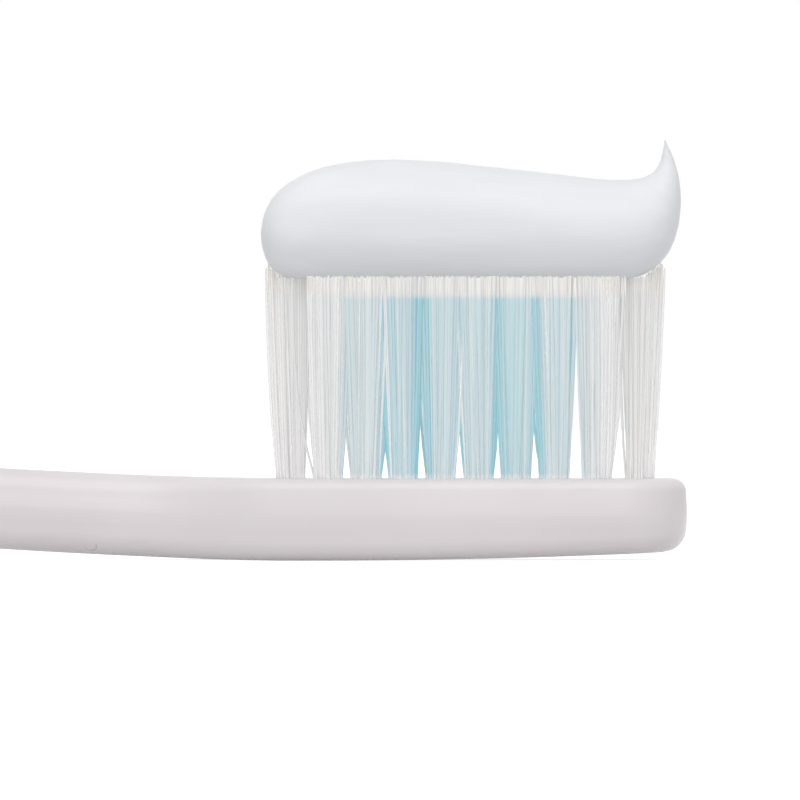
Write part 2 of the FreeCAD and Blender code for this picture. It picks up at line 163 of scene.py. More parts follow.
@dataclass(frozen=True)
class MouldedPolypropylene:
    """White polypropylene, injection moulded: a satin surface with a faint grain from the mould."""

    name: str = "polypropylene_moulded"
    colour: str = "#e8e2e4"
    shade: str = "#e4dee1"
    roughness: float = 0.28
    grain: float = 0.45

    def material(self) -> bpy.types.Material:
        """Builds the material.

        Returns:
            The material, with soft clouds of colour and a mould's grain as bump.
        """
        material, tree = new_material(self.name)
        place = add_node(tree, "ShaderNodeTexCoord").outputs["Object"]
        clouds = add_node(
            tree,
            "ShaderNodeTexNoise",
            inputs={"Vector": place, "Scale": 140.0, "Detail": 3.0},
        )
        grain = add_node(
            tree,
            "ShaderNodeTexNoise",
            inputs={"Vector": place, "Scale": 1 / (self.grain * MM), "Detail": 2.0},
        )
        ramp = colour_ramp(tree, clouds.outputs["Fac"], [(0.35, self.shade), (0.65, self.colour)])
        bump = add_node(
            tree,
            "ShaderNodeBump",
            inputs={"Height": grain.outputs["Fac"], "Strength": 0.12, "Distance": 0.02 * MM},
        )
        shader = add_node(
            tree,
            "ShaderNodeBsdfPrincipled",
            inputs={
                "Base Color": ramp.outputs["Color"],
                "Roughness": self.roughness,
                "IOR": 1.49,
                "Subsurface Weight": 0.25,
                "Subsurface Radius": (1.0, 0.95, 0.9),
                "Subsurface Scale": 0.0012,
                "Normal": bump.outputs["Normal"],
            },
        )
        finish_with(tree, shader)
        return material


@dataclass(frozen=True)
class Nylon:
    """Extruded nylon monofilament: smooth, glossy, partly clear, each strand a little different."""

    name: str
    dark: str
    pale: str
    # Painted see-through colour: the aqua of the tufts behind, laid onto the strand's own colour.
    behind: str
    # White base of the clear strands: they really let light through, and the white is painted light
    # coming through them.
    painted_light_white: str = "#ffffff"
    pale_at: float = 0.85
    clear_from: float = 0.9
    # Painted light: a lighter band on the strands above the aqua tufts' ends, where light comes
    # through with no tuft behind.
    painted_light_band: str = "#fffdf8"
    painted_light_band_height: float = 14.35
    # Painted light bounced up from the white head onto the strands just above it, below the height
    # that follows.
    foot: str = "#ffffff"
    painted_bounce_height: float = 4.75
    roughness: float = 0.38
    clear_roughness: float = 0.12
    clearness: float = 0.55

    def material(self) -> bpy.types.Material:
        """Builds the material.

        Returns:
            The material. The lightest strands let light through, and their white base colour is
            painted light. The others take on a painted see-through aqua from the tufts behind them,
            a painted band of light above the aqua tufts' ends and painted light bounced up just
            over the white head.
        """
        material, tree = new_material(self.name)
        strand, aqua = (
            add_node(tree, "ShaderNodeAttribute", {"attribute_name": name}).outputs["Fac"]
            for name in (Tuft.STRAND_ATTRIBUTE, Tuft.BEHIND_ATTRIBUTE)
        )
        place = add_node(tree, "ShaderNodeTexCoord").outputs["Object"]
        height = add_node(tree, "ShaderNodeSeparateXYZ", inputs={"Vector": place}).outputs["Z"]
        stops = [(0.0, self.dark), (self.pale_at, self.pale), (self.clear_from, self.painted_light_white)]
        ramp = colour_ramp(tree, strand, stops)
        steps = []
        # Masks by height: below the painted light band, the painted light band itself, and the foot
        # where painted light is bounced up from the white head.
        for low, high in (
            (self.painted_light_band_height, self.painted_light_band_height - 0.4),
            (self.painted_light_band_height - 0.1, self.painted_light_band_height + 0.3),
            (self.painted_bounce_height, self.painted_bounce_height - 0.4),
        ):
            step = add_node(
                tree,
                "ShaderNodeMapRange",
                {"interpolation_type": "SMOOTHSTEP"},
                {"Value": height, "From Min": low * MM, "From Max": high * MM},
            )
            steps.append(step.outputs["Result"])
        colour = ramp.outputs["Color"]
        # Laid over the strands' own tones: painted see-through aqua, the painted light band and
        # painted light bounced up from the head.
        for step, strength, layer in (
            (steps[0], aqua, self.behind),
            (steps[1], strand, self.painted_light_band),
            (steps[2], 0.75, self.foot),
        ):
            share = add_node(
                tree, "ShaderNodeMath", {"operation": "MULTIPLY"}, {0: step, 1: strength}
            )
            mix = add_node(
                tree,
                "ShaderNodeMix",
                {"data_type": "RGBA"},
                {0: share.outputs[0], 6: colour, 7: linear(layer)},
            )
            colour = mix.outputs[2]
        clear, gloss = (
            add_node(
                tree,
                "ShaderNodeMapRange",
                inputs={
                    "Value": strand,
                    "From Min": self.clear_from - 0.03,
                    "From Max": self.clear_from,
                    "To Min": low,
                    "To Max": high,
                },
            ).outputs["Result"]
            for low, high in ((0.0, self.clearness), (self.roughness, self.clear_roughness))
        )
        shader = add_node(
            tree,
            "ShaderNodeBsdfPrincipled",
            inputs={
                "Base Color": colour,
                "Roughness": gloss,
                "IOR": 1.53,
                "Transmission Weight": clear,
                "Sheen Weight": 0.5,
                "Sheen Roughness": 0.5,
            },
        )
        finish_with(tree, shader)
        return material


@dataclass(frozen=True)
class Paste:
    """Opaque white toothpaste: soft, moist and smooth, with faint streaks along the squeeze."""

    name: str = "toothpaste_squeezed"
    colour: str = "#eff1f4"
    shade: str = "#e9ebef"
    roughness: float = 0.42

    def material(self) -> bpy.types.Material:
        """Builds the material.

        Returns:
            The material, with streaks of colour and bump that run along the strip.
        """
        material, tree = new_material(self.name)
        place = add_node(tree, "ShaderNodeTexCoord").outputs["Object"]
        drawn = add_node(
            tree, "ShaderNodeMapping", inputs={"Vector": place, "Scale": (90.0, 700.0, 700.0)}
        )
        streaks = add_node(
            tree,
            "ShaderNodeTexNoise",
            inputs={"Vector": drawn.outputs["Vector"], "Scale": 1.0, "Detail": 4.0},
        )
        ramp = colour_ramp(tree, streaks.outputs["Fac"], [(0.3, self.shade), (0.7, self.colour)])
        bump = add_node(
            tree,
            "ShaderNodeBump",
            inputs={"Height": streaks.outputs["Fac"], "Strength": 0.35, "Distance": 0.12 * MM},
        )
        shader = add_node(
            tree,
            "ShaderNodeBsdfPrincipled",
            inputs={
                "Base Color": ramp.outputs["Color"],
                "Roughness": self.roughness,
                "IOR": 1.42,
                "Specular IOR Level": 0.2,
                "Subsurface Weight": 0.7,
                "Subsurface Radius": (1.0, 0.98, 0.95),
                "Subsurface Scale": 0.0025,
                "Normal": bump.outputs["Normal"],
            },
        )
        finish_with(tree, shader)
        return material


@dataclass(frozen=True)
class FlatBrassWire:
    """Brass wire, rolled flat and cut, as tuft anchors are: bright, with fine rolled lines."""

    name: str = "brass_rolled_wire"
    colour: str = "#d8c27a"
    shade: str = "#bfa55c"

    def material(self) -> bpy.types.Material:
        """Builds the material.

        Returns:
            The material, with the roll's lines in its colour.
        """
        material, tree = new_material(self.name)
        place = add_node(tree, "ShaderNodeTexCoord").outputs["Object"]
        drawn = add_node(
            tree, "ShaderNodeMapping", inputs={"Vector": place, "Scale": (400.0, 400.0, 12000.0)}
        )
        lines = add_node(
            tree, "ShaderNodeTexNoise", inputs={"Vector": drawn.outputs["Vector"], "Scale": 1.0}
        )
        ramp = colour_ramp(tree, lines.outputs["Fac"], [(0.3, self.shade), (0.7, self.colour)])
        shader = add_node(
            tree,
            "ShaderNodeBsdfPrincipled",
            inputs={"Base Color": ramp.outputs["Color"], "Metallic": 1.0, "Roughness": 0.3},
        )
        finish_with(tree, shader)
        return material


class Side(Enum):
    """The two sides of the brush, by the sign of Y."""

    RIGHT = -1
    LEFT = 1


def deselect() -> None:
    """Deselects every object, so that an operator acts only on the new one."""
    for selected in bpy.context.selected_objects:
        selected.select_set(False)


def tube(
    name: str, sides: int, rings: int, place: Callable[[int, int], Vector]
) -> bpy.types.Object:
    """Extrudes a circle ring by ring, then moves each vertex to its place.

    Args:
        name: The piece's name.
        sides: Vertices round a ring.
        rings: How many rings there are.
        place: Gives the place in millimetres of a vertex, from its ring and its number round it.

    Returns:
        The piece, closed, with its faces outwards.
    """
    deselect()
    bpy.ops.mesh.primitive_circle_add(vertices=sides, radius=1, fill_type="NGON")
    piece = bpy.context.object
    piece.name = name
    piece.data.name = name
    bpy.ops.object.mode_set(mode="EDIT")
    for _ in range(rings - 1):
        bpy.ops.mesh.extrude_region_move(TRANSFORM_OT_translate={"value": (0, 0, 1)})
    bpy.ops.object.mode_set(mode="OBJECT")
    for vertex in piece.data.vertices:
        x, y, z = vertex.co
        number = round(math.atan2(y, x) / (2 * math.pi) * sides) % sides
        vertex.co = place(round(z), number) * MM
    clean(piece)
    return piece


def clean(piece: bpy.types.Object) -> None:
    """Merges doubled vertices, drops faces without area and turns the faces outwards."""
    bpy.ops.object.mode_set(mode="EDIT")
    bpy.ops.mesh.select_all(action="SELECT")
    bpy.ops.mesh.remove_doubles(threshold=0.002 * MM)
    bpy.ops.mesh.dissolve_degenerate(threshold=0.001 * MM)
    bpy.ops.mesh.normals_make_consistent(inside=False)
    bpy.ops.object.mode_set(mode="OBJECT")


def smooth(piece: bpy.types.Object, degrees: float) -> None:
    """Shades a piece smooth, except where two faces meet at more than an angle."""
    deselect()
    piece.select_set(True)
    bpy.context.view_layer.objects.active = piece
    bpy.ops.object.shade_smooth_by_angle(angle=math.radians(degrees))


def apply_modifier(piece: bpy.types.Object, modifier: bpy.types.Modifier) -> None:
    """Applies a modifier to its piece."""
    deselect()
    piece.select_set(True)
    bpy.context.view_layer.objects.active = piece
    bpy.ops.object.modifier_apply(modifier=modifier.name)


def finish_piece(
    piece: bpy.types.Object, material: bpy.types.Material, slot: str, *nodes: str
) -> None:
    """Dresses a piece and ties it to the part.

    Args:
        piece: The finished piece.
        material: Its material.
        slot: The record's material slot; not used.
        nodes: The CAD nodes that it stands for.
    """
    piece.data.materials.clear()
    piece.data.materials.append(material)
    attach(piece, "root")
    if nodes:
        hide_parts(*nodes)
    LOG.info("%s: %d faces", piece.name, len(piece.data.polygons))


@dataclass
class Handle:
    """The moulding: head, shoulders, neck and grip in one, with the line where the mould parts."""

    half_length: float = 90.0
    head_length: float = 21.0
    head_width: float = 9.2
    head_thickness: float = 4.4
    tip_radius: float = 3.6
    tip_lift: float = 0.5
    head_parting: float = 2.42
    head_radii: tuple[float, float] = (0.7, 1.2)
    shoulder_length: float = 9.0
    neck_length: float = 30.0
    neck_width: float = 4.8
    neck_thickness: float = 4.3
    neck_lift: float = 1.6
    neck_radii: tuple[float, float] = (1.2, 1.4)
    swell_length: float = 58.0
    grip_width: float = 12.4
    grip_thickness: float = 7.6
    grip_radii: tuple[float, float] = (2.9, 2.5)
    tail_length: float = 26.0
    tail_lift: float = 0.9
    tail_roundness: float = 2.6
    tail_reach: float = 0.985
    draft: float = 1.5
    crown: float = 0.13
    flash_height: float = 0.06
    flash_depth: float = 0.04
    corner_steps: int = 8
    wall_steps: int = 4
    tail_steps: int = 24
    grip_steps: int = 70
    neck_steps: int = 24
    neck_end: float = 12.0
    head_steps: int = 12
    tip_steps: int = 16
    mark_place: tuple[float, float] = (57.84, 0.74)
    mark_radius: float = 0.32
    mark_depth: float = 0.045
    mark_lean: float = 8.0
    hole_diameter: float = 1.6
    hole_depth: float = 3.0
    finish: MouldedPolypropylene = field(default_factory=MouldedPolypropylene)

    def sizes_at(self, x: float) -> tuple[float, float, float, float, float, float]:
        """Gives the section at a place along the brush.

        Args:
            x: The place, from the tail to the tip.

        Returns:
            Half width, lift, top, parting height, top radius and back radius.
        """
        shoulder = self.half_length - self.head_length
        neck = shoulder - self.shoulder_length
        swell = neck - self.neck_length
        grip = swell - self.swell_length
        tail = -self.half_length + self.tail_length
        if x >= shoulder:
            lift = self.tip_lift * ((x - shoulder) / self.head_length) ** 2
            half, top = self.head_width / 2, self.head_thickness
            return (half, lift, top, self.head_parting, *self.head_radii)
        if x >= swell:
            along = ease((shoulder - x) / (self.shoulder_length + self.neck_length))
            narrow = ease((shoulder - x) / self.shoulder_length)
            lift = self.neck_lift * along
            thickness = blend(self.head_thickness, self.neck_thickness, along)
            parting = lift + blend(self.head_parting, thickness / 2, along)
            width = blend(self.head_width, self.neck_width, narrow)
            pairs = zip(self.head_radii, self.neck_radii, strict=True)
            radii = [blend(a, b, narrow) for a, b in pairs]
            return (width / 2, lift, lift + thickness, parting, *radii)
        if x >= grip:
            along = ease((swell - x) / self.swell_length)
            width = blend(self.neck_width, self.grip_width, along)
            thickness = blend(self.neck_thickness, self.grip_thickness, along)
            lift = self.neck_lift * (1 - along)
            pairs = zip(self.neck_radii, self.grip_radii, strict=True)
            radii = [blend(a, b, along) for a, b in pairs]
            return (width / 2, lift, lift + thickness, lift + thickness / 2, *radii)
        share = max(0.0, (tail - x) / self.tail_length)
        left = (1 - (share * self.tail_reach) ** self.tail_roundness) ** (1 / self.tail_roundness)
        lift = self.grip_thickness * (1 - left) / 2 + self.tail_lift * share * share
        thickness = self.grip_thickness * left
        top_radius, back_radius = (radius * left for radius in self.grip_radii)
        half, parting = self.grip_width * left / 2, lift + thickness / 2
        return (half, lift, lift + thickness, parting, top_radius, back_radius)

    def outline(self) -> list[tuple[float, float, float, float]]:
        """Lists the stations along one side of the plan, from the tail round to the tip.

        Returns:
            For each station, its x, its distance from the middle, and the direction inwards.
        """
        near = self.half_length - self.tip_radius
        shoulder = self.half_length - self.head_length
        tail = -self.half_length + self.tail_length
        spots = [
            tail - self.tail_length * math.sin(math.pi / 2 * i / self.tail_steps)
            for i in range(self.tail_steps, 0, -1)
        ]
        for start, end, steps in (
            (tail, shoulder - self.neck_end, self.grip_steps),
            (shoulder - self.neck_end, shoulder, self.neck_steps),
            (shoulder, near, self.head_steps),
        ):
            spots += [blend(start, end, i / steps) for i in range(steps)]
        stations = [(x, self.sizes_at(x)[0], 0.0, 1.0) for x in spots]
        inner = self.head_width / 2 - self.tip_radius
        for i in range(self.tip_steps + 1):
            turn = math.pi / 2 * i / self.tip_steps
            x = near + self.tip_radius * math.sin(turn)
            y = inner + self.tip_radius * math.cos(turn)
            stations.append((x, y, math.sin(turn), math.cos(turn)))
        stations.append((self.half_length, 0.0, 1.0, 0.0))
        return stations

    def profile(self, x: float) -> list[tuple[float, float]]:
        """Gives one side of the section, from the back to the top.

        Args:
            x: The place along the brush.

        Returns:
            How far inside the widest line each point lies, and its height.
        """
        _, lift, top, parting, top_radius, back_radius = self.sizes_at(x)
        slope = math.tan(math.radians(self.draft))
        back_wall, top_wall = parting - lift - back_radius, top - top_radius - parting
        crown = self.crown * min(1.0, 0.25 + 0.75 * (self.half_length - x) / self.tip_radius)
        back_inset, top_inset = back_wall * slope + crown, top_wall * slope + crown
        points = []
        for i in range(self.corner_steps + 1):
            turn = math.pi / 2 * i / self.corner_steps
            inset = back_inset + back_radius * (1 - math.sin(turn))
            points.append((inset, lift + back_radius * (1 - math.cos(turn))))
        for i in range(self.wall_steps - 1, 0, -1):
            share = i / self.wall_steps
            inset = back_wall * slope * share + crown * share**2
            points.append((inset, parting - back_wall * share))
        for step, depth in ((-1, 0.0), (0, -self.flash_depth), (1, 0.0)):
            inset = depth + abs(step) * self.flash_height * slope
            points.append((inset, parting + step * self.flash_height))
        for i in range(1, self.wall_steps):
            share = i / self.wall_steps
            inset = top_wall * slope * share + crown * share**2
            points.append((inset, parting + top_wall * share))
        for i in range(self.corner_steps + 1):
            turn = math.pi / 2 * i / self.corner_steps
            inset = top_inset + top_radius * (1 - math.cos(turn))
            points.append((inset, top - top_radius * (1 - math.sin(turn))))
        return points

    def build(self, holes: list[tuple[float, float]]) -> bpy.types.Object:
        """Makes the moulding and drills its holes.

        Args:
            holes: Where the holes are, along and across the brush.

        Returns:
            The finished moulding.
        """
        stations = self.outline()
        half = 2 * (self.corner_steps + self.wall_steps) + 3

        def place(ring: int, number: int) -> Vector:
            """Puts a vertex on the outline, on the right going up and on the left coming down."""
            x, y, along, across = stations[ring]
            side = Side.RIGHT if number < half else Side.LEFT
            step = number if number < half else 2 * half - 1 - number
            inset = self.profile(x)[step][0]
            spot = x - inset * along
            return Vector((spot, side.value * (y - inset * across), self.profile(spot)[step][1]))

        piece = tube("handle_moulding", 2 * half, len(stations), place)
        self.drill(piece, holes)
        smooth(piece, 35)
        finish_piece(piece, self.finish.material(), "handle_plastic", "handle")
        return piece

    def drill(self, piece: bpy.types.Object, holes: list[tuple[float, float]]) -> None:
        """Cuts the tuft holes out of the head, and the mould's small round mark out of the neck.

        Args:
            piece: The moulding.
            holes: Where the holes are, along and across the brush.
        """
        deselect()
        floor = self.head_thickness - self.hole_depth
        bits = []
        for x, y in holes:
            height = floor + 2 * self.hole_depth
            centre = Vector((x, y, (floor + height) / 2)) * MM
            radius = self.hole_diameter / 2 * MM
            bpy.ops.mesh.primitive_cylinder_add(
                vertices=24, radius=radius, depth=(height - floor) * MM, location=centre
            )
            bits.append(bpy.context.object)
        bits.append(self.mark_cutter())
        for bit in bits:
            bit.select_set(True)
        bpy.context.view_layer.objects.active = bits[0]
        bpy.ops.object.join()
        drill = bpy.context.object
        cut = piece.modifiers.new("drilling", "BOOLEAN")
        cut.operation = "DIFFERENCE"
        cut.solver = "EXACT"
        cut.object = drill
        apply_modifier(piece, cut)
        bpy.data.objects.remove(drill, do_unlink=True)

    def mark_cutter(self) -> bpy.types.Object:
        """Makes the ring that cuts the mark: it leans, so that only its lower half goes in.

        Returns:
            The ring, on the rounded edge of the back, on the right.
        """
        x, z = self.mark_place
        half, lift, _, parting, _, radius = self.sizes_at(x)
        turn = math.acos(1 - (z - lift) / radius)
        inset = (parting - lift - radius) * math.tan(math.radians(self.draft)) + self.crown
        y = Side.RIGHT.value * (half - inset - radius * (1 - math.sin(turn)))
        outward = Vector((0, Side.RIGHT.value * math.sin(turn), -math.cos(turn)))
        down = Vector((0, -Side.RIGHT.value * math.cos(turn), -math.sin(turn)))
        lean = math.radians(self.mark_lean)
        axis = outward * math.cos(lean) + down * math.sin(lean)
        bpy.ops.mesh.primitive_torus_add(
            major_segments=36,
            minor_segments=8,
            major_radius=self.mark_radius * MM,
            minor_radius=self.mark_depth * MM,
            location=Vector((x, y, z)) * MM,
            rotation=axis.to_track_quat("Z", "Y").to_euler(),
        )
        return bpy.context.object


@dataclass
class Strand:
    """One nylon filament, modelled once and copied into every tuft."""

    diameter: float = 0.15
    sides: int = 5
    rings: int = 9

    def build(self) -> Form:
        """Extrudes the strand's form.

        Returns:
            The ring and the number round it of each vertex, and the vertices of each face.
        """
        piece = tube("strand", self.sides, self.rings, self.straight)
        spots = []
        for vertex in piece.data.vertices:
            x, y, z = vertex.co / MM
            number = round(math.atan2(y, x) / (2 * math.pi) * self.sides) % self.sides
            spots.append((round(z), number))
        faces = [list(face.vertices) for face in piece.data.polygons]
        bpy.data.objects.remove(piece, do_unlink=True)
        return spots, faces

    def straight(self, ring: int, number: int) -> Vector:
        """Places a vertex on a plain upright rod."""
        turn = 2 * math.pi * number / self.sides
        return Vector((math.cos(turn), math.sin(turn), ring))


@dataclass
class Tuft:
    """A tuft: filaments packed into one hole, which spread and wander towards their trimmed ends.

    The field named behind says how much of an aqua tuft shows at a strand, as painted see-through
    colour: on the tail side of the tuft, in its middle and on the tip side. The field named free is
    the side where no other tuft stands: -1 tail, 1 tip, 0 neither. Filaments past paste_ends stand
    longer than the trim.
    """

    STRAND_ATTRIBUTE = "strand_shade"
    BEHIND_ATTRIBUTE = "aqua_behind"
    HEART = Strand(sides=30, rings=9)

    node: str
    x: float
    y: float
    trim: float
    lean: float
    seed: int
    behind: tuple[float, float, float] = (0.0, 0.0, 0.0)
    free: int = 0
    count: int = 84
    packed_radius: float = 0.73
    heart_radius: float = 0.66
    free_heart_radius: float = 0.56
    heart_spread: float = 1.35
    heart_share: float = 0.4
    flatness: float = 0.4
    paste_ends: tuple[float, float] = (68.3, 87.7)
    ragged: float = 0.1
    spread: float = 1.5
    mouth: float = 4.4
    root: float = 3.15
    curve: float = 0.85
    wave: float = 0.035
    stray_share: float = 0.07
    wander: float = 0.12
    stray_wander: float = 0.26
    bow: float = 0.12
    stray_bow: float = 0.55
    fan_from: float = 0.6
    fan_share: float = 0.09
    fan_reach: tuple[float, float] = (0.1, 0.4)
    fan_curve: float = 0.6
    longer_by: float = 0.85

    def build(
        self, strand: Strand, form: Form, heart: Form, material: bpy.types.Material, slot: str
    ) -> bpy.types.Object:
        """Makes the tuft from copies of the strand round its close-packed heart.

        Args:
            strand: The strand's sizes.
            form: The strand's vertices and faces.
            heart: The heart's vertices and faces.
            material: The nylon.
            slot: The record's material slot.

        Returns:
            The finished tuft.
        """
        rng = random.Random(self.seed)
        vertices: list[Vector] = []
        polygons: list[list[int]] = []
        shades: list[float] = []
        tints: list[float] = []
        normals: list[Vector] = []
        spots, faces = heart
        end = self.trim - self.ragged
        heart_radius = self.free_heart_radius if self.free else self.heart_radius
        heart_x = self.x - self.free * (self.heart_radius - heart_radius)
        sides = range(self.HEART.sides)
        streaks = [rng.uniform(0.1, 0.8) for _ in sides]
        wobble = [rng.uniform(0.94, 1.06) for _ in sides]
        shows = [
            self.shows(math.cos(2 * math.pi * side / self.HEART.sides)) * rng.uniform(0.8, 1.1)
            for side in sides
        ]
        for ring, corner in spots:
            z = blend(self.root, end, ring / (self.HEART.rings - 1))
            bend = self.bend(z, end)
            turn = 2 * math.pi * corner / self.HEART.sides
            radius = heart_radius * (1 + (self.heart_spread - 1) * bend) * wobble[corner]
            offset = Vector((math.cos(turn), math.sin(turn), 0)) * radius
            vertices.append((Vector((heart_x + self.lean * bend, self.y, z)) + offset) * MM)
            normals.append(Vector((offset.x * self.flatness, offset.y, 0)).normalized())
        polygons += [list(face) for face in faces]
        shades += [streaks[min(spots[i][1] for i in face)] for face in faces]
        tints += [shows[min(spots[i][1] for i in face)] for face in faces]
        spots, faces = form
        for number in range(self.count):
            start = len(vertices)
            out = math.sqrt(blend(self.heart_share, 1.0, (number + 0.5) / self.count))
            angle = number * GOLDEN_ANGLE + rng.uniform(-0.2, 0.2)
            along = out * math.cos(angle)
            outward = max(0.0, along * self.free)
            path = self.path(rng, Vector((along, out * math.sin(angle), 0)), outward, strand.rings)
            # Clear strands really let light through and are painted white for that light. They are
            # picked more often at the tuft's edges and most on the open side, where light comes
            # through.
            painted_light_chance = 0.03 + 0.12 * ease((abs(along) - 0.5) * 2) + 0.75 * ease(outward * 2)
            light = rng.random() < painted_light_chance
            shade = 1.0 if light else rng.uniform(0.0, Nylon.pale_at)
            tint = 0.0 if light else min(1.0, self.shows(along) * rng.uniform(0.7, 1.15))
            for ring, corner in spots:
                turn = 2 * math.pi * (corner + 0.5 * number) / strand.sides
                radius = strand.diameter / 2 * (0.6 if ring == strand.rings - 1 else 1.0)
                offset = Vector((math.cos(turn), math.sin(turn), 0)) * radius
                vertices.append((path[ring] + offset) * MM)
                squeeze = 1.0 if light else self.flatness
                normals.append(Vector((offset.x * squeeze, offset.y, 0)).normalized())
            polygons += [[start + i for i in face] for face in faces]
            shades += [shade] * len(faces)
            tints += [tint] * len(faces)
        mesh = bpy.data.meshes.new(f"{self.node}_filaments")
        mesh.from_pydata(vertices, [], polygons)
        for name, values in ((self.STRAND_ATTRIBUTE, shades), (self.BEHIND_ATTRIBUTE, tints)):
            mesh.attributes.new(name, "FLOAT", "FACE").data.foreach_set("value", values)
        piece = bpy.data.objects.new(f"{self.node}_filaments", mesh)
        bpy.context.scene.collection.objects.link(piece)
        smooth(piece, 80)
        mesh.normals_split_custom_set_from_vertices(normals)
        piece.visible_shadow = False
        piece.visible_diffuse = False
        finish_piece(piece, material, slot, self.node)
        return piece

    def shows(self, along: float) -> float:
        """Gives how much aqua shows at a place across the tuft, from -1 at the tail side to 1."""
        # Painted see-through colour: the share of the aqua behind that is laid onto a strand.
        low, middle, high = self.behind
        return blend(middle, high if along > 0 else low, ease((abs(along) - 0.5) * 2))

    def path(self, rng: random.Random, out: Vector, outward: float, rings: int) -> list[Vector]:
        """Lays out one filament's middle line, from inside the hole to its end.

        Args:
            rng: The tuft's own random numbers.
            out: The filament's place in the bundle, as shares of the bundle's radius.
            outward: How far it stands on the side where no other tuft is, as a share.
            rings: How many points the line has.

        Returns:
            The points.
        """
        base = out * self.packed_radius
        stray = rng.random() < self.stray_share
        wander, bowed = (self.stray_wander, self.stray_bow) if stray else (self.wander, self.bow)
        drift = Vector((rng.gauss(0, wander), rng.gauss(0, wander), 0))
        fan = abs(out.x) > self.fan_from and rng.random() < self.fan_share
        if fan:
            drift.x += math.copysign(rng.uniform(*self.fan_reach), out.x)
        reach = base * (self.spread - 1) + drift + Vector((self.lean, 0, 0))
        wave = Vector((rng.uniform(-1, 1), rng.uniform(-1, 1), 0)) * self.wave
        bow = Vector((self.free * outward * bowed * rng.random(), 0, 0))
        phase = rng.uniform(0, 2 * math.pi)
        top = self.x + base.x + reach.x
        past = max(0.0, self.paste_ends[0] - top, top - self.paste_ends[1])
        end = self.trim - rng.uniform(0.0, self.ragged)
        end += min(self.longer_by, 1.1 * past) * rng.uniform(0.4, 1.0)
        points = []
        for ring in range(rings):
            share = ring / (rings - 1)
            z = blend(self.root, end, share)
            bend = self.bend(z, end)
            side = wave * math.sin(phase + 5 * bend) * bend + bow * math.sin(math.pi * bend)
            spread = bend**self.fan_curve if fan else bend
            points.append(Vector((self.x, self.y, z)) + base + reach * spread + side)
        return points

    def bend(self, z: float, end: float) -> float:
        """Gives how much of the spread a strand has at a height, from none at the hole's mouth."""
        free = max(0.0, (z - self.mouth) / (end - self.mouth))
        return free**self.curve


@dataclass
class TuftField:
    """All the tufts: three rows, with the middle row's inner tufts aqua and trimmed shorter."""

    columns: int = 10
    tip_x: float = 90.0
    wide_steps: int = 2
    tip_to_first: float = 2.54
    tip_pitch: float = 2.33
    pitch: float = 2.03
    row_pitch: float = 2.25
    trim: float = 15.3
    inner_trim: float = 1.1
    aqua_columns: tuple[int, ...] = (3, 4, 5, 6, 7, 8)
    rows: dict[str, int] = field(default_factory=lambda: {"right": -1, "middle": 0, "left": 1})
    leans: tuple[float, ...] = (0.22, 0.06, -0.1, 0.05, -0.07, 0.06, -0.1, 0.08, -0.12, -0.24)
    lean_spread: float = 0.04
    # How much aqua from the tufts behind is painted onto the clear strands as see-through colour,
    # at each tuft's middle and at each gap between columns.
    middle_aqua: float = 0.27
    seed: int = 7
    gap_aqua: dict[int, float] = field(
        default_factory=lambda: {2: 0.35, 3: 0.8, 4: 0.85, 5: 0.5, 6: 1.0, 7: 0.65, 8: 0.3}
    )
    clear: Nylon = field(
        default_factory=lambda: Nylon("nylon_clear_filament", "#e7e9ea", "#faf8f5", "#8ad6e6")
    )
    aqua: Nylon = field(
        default_factory=lambda: Nylon("nylon_aqua_filament", "#8fdbe9", "#b4ebf3", "#9ce2ee")
    )

    def column_x(self, column: int) -> float:
        """Gives where a column stands along the brush, counted from the tip."""
        wide = min(column - 1, self.wide_steps)
        first = self.tip_x - self.tip_to_first
        return first - wide * self.tip_pitch - (column - 1 - wide) * self.pitch

    def places(self) -> list[tuple[str, int, float, float]]:
        """Lists each tuft's row and column, and where it stands."""
        found = []
        for row, across in self.rows.items():
            ends = 0 if row == "middle" else 1
            for column in range(1 + ends, self.columns + 1 - ends):
                found.append((row, column, self.column_x(column), across * self.row_pitch))
        return found

    def build(self) -> None:
        """Makes every tuft."""
        strand = Strand()
        form = strand.build()
        heart = Tuft.HEART.build()
        clear, aqua = self.clear.material(), self.aqua.material()
        rng = random.Random(self.seed)
        for seed, (row, column, x, y) in enumerate(self.places(), start=1):
            inner = row == "middle" and column in self.aqua_columns
            lean = self.leans[column - 1] + rng.uniform(-self.lean_spread, self.lean_spread)
            trim = self.trim - (self.inner_trim if inner else 0.0)
            # Painted see-through aqua on this tuft's tail side, middle and tip side.
            sides = self.gap_aqua.get(column, 0.0), self.gap_aqua.get(column - 1, 0.0)
            behind = (sides[0], self.middle_aqua * (sides[0] + sides[1]), sides[1])
            free = {1: 1, self.columns: -1}.get(column, 0)
            if row != "middle":
                free = {2: 1, self.columns - 1: -1}.get(column, 0)
            tuft = Tuft(f"tuft_{row}_{column}", x, y, trim, lean, seed, behind, free)
            nylon, slot = (aqua, "aqua_bristles") if inner else (clear, "clear_bristles")
            tuft.build(strand, form, heart, nylon, slot)


